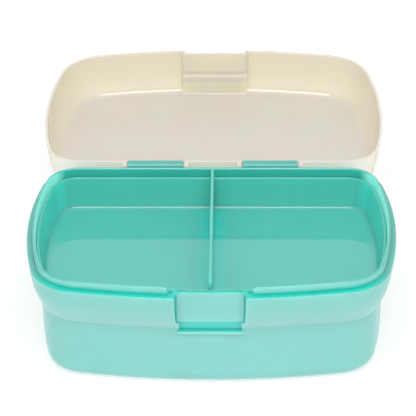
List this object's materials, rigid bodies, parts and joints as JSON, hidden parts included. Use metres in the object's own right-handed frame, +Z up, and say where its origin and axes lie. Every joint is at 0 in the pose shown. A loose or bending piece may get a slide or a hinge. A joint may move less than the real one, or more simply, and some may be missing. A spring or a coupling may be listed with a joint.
{
  "type": "lunch box",
  "caption": "Bowed plastic lunch box with a lift-out divided tray, a domed lid on a rear snap hinge and a swinging front clip, shown open.",
  "frame": {"origin": "on the flat underside of the tub, below the middle of the ledge's width and depth", "axes": "+Z up, +Y from the latch side to the hinge side, +X to the right seen from the latch side"},
  "size_m": [0.178, 0.2523, 0.0594],
  "materials": {
    "teal_plastic": "moulded satin gloss",
    "teal_tray_plastic": "moulded gloss",
    "cream_plastic": "slightly translucent satin",
    "cream_clip_plastic": "moulded satin gloss"
  },
  "bodies": {
    "tub": {"base_tub": "teal_plastic"},
    "tray": {"divided_tray": "teal_tray_plastic"},
    "lid": {"lid": "cream_plastic"},
    "clip": {"front_clip": "cream_clip_plastic"}
  },
  "joints": [
    {"name": "lid_hinge", "type": "hinge", "parent": "tub", "child": "lid", "pos_m": [0, 0.0638, 0.05245], "axis": [1, 0, 0], "range_deg": [0, 177.3]},
    {"name": "clip_hinge", "type": "hinge", "parent": "lid", "child": "clip", "pos_m": [0, 0.18527, 0.04331], "axis": [1, 0, 0], "range_deg": [-2, 176.8]},
    {"name": "tray_lift", "type": "slide", "parent": "tub", "child": "tray", "axis": [0, 0, 1], "range_m": [0, 0.0115]}
  ]
}
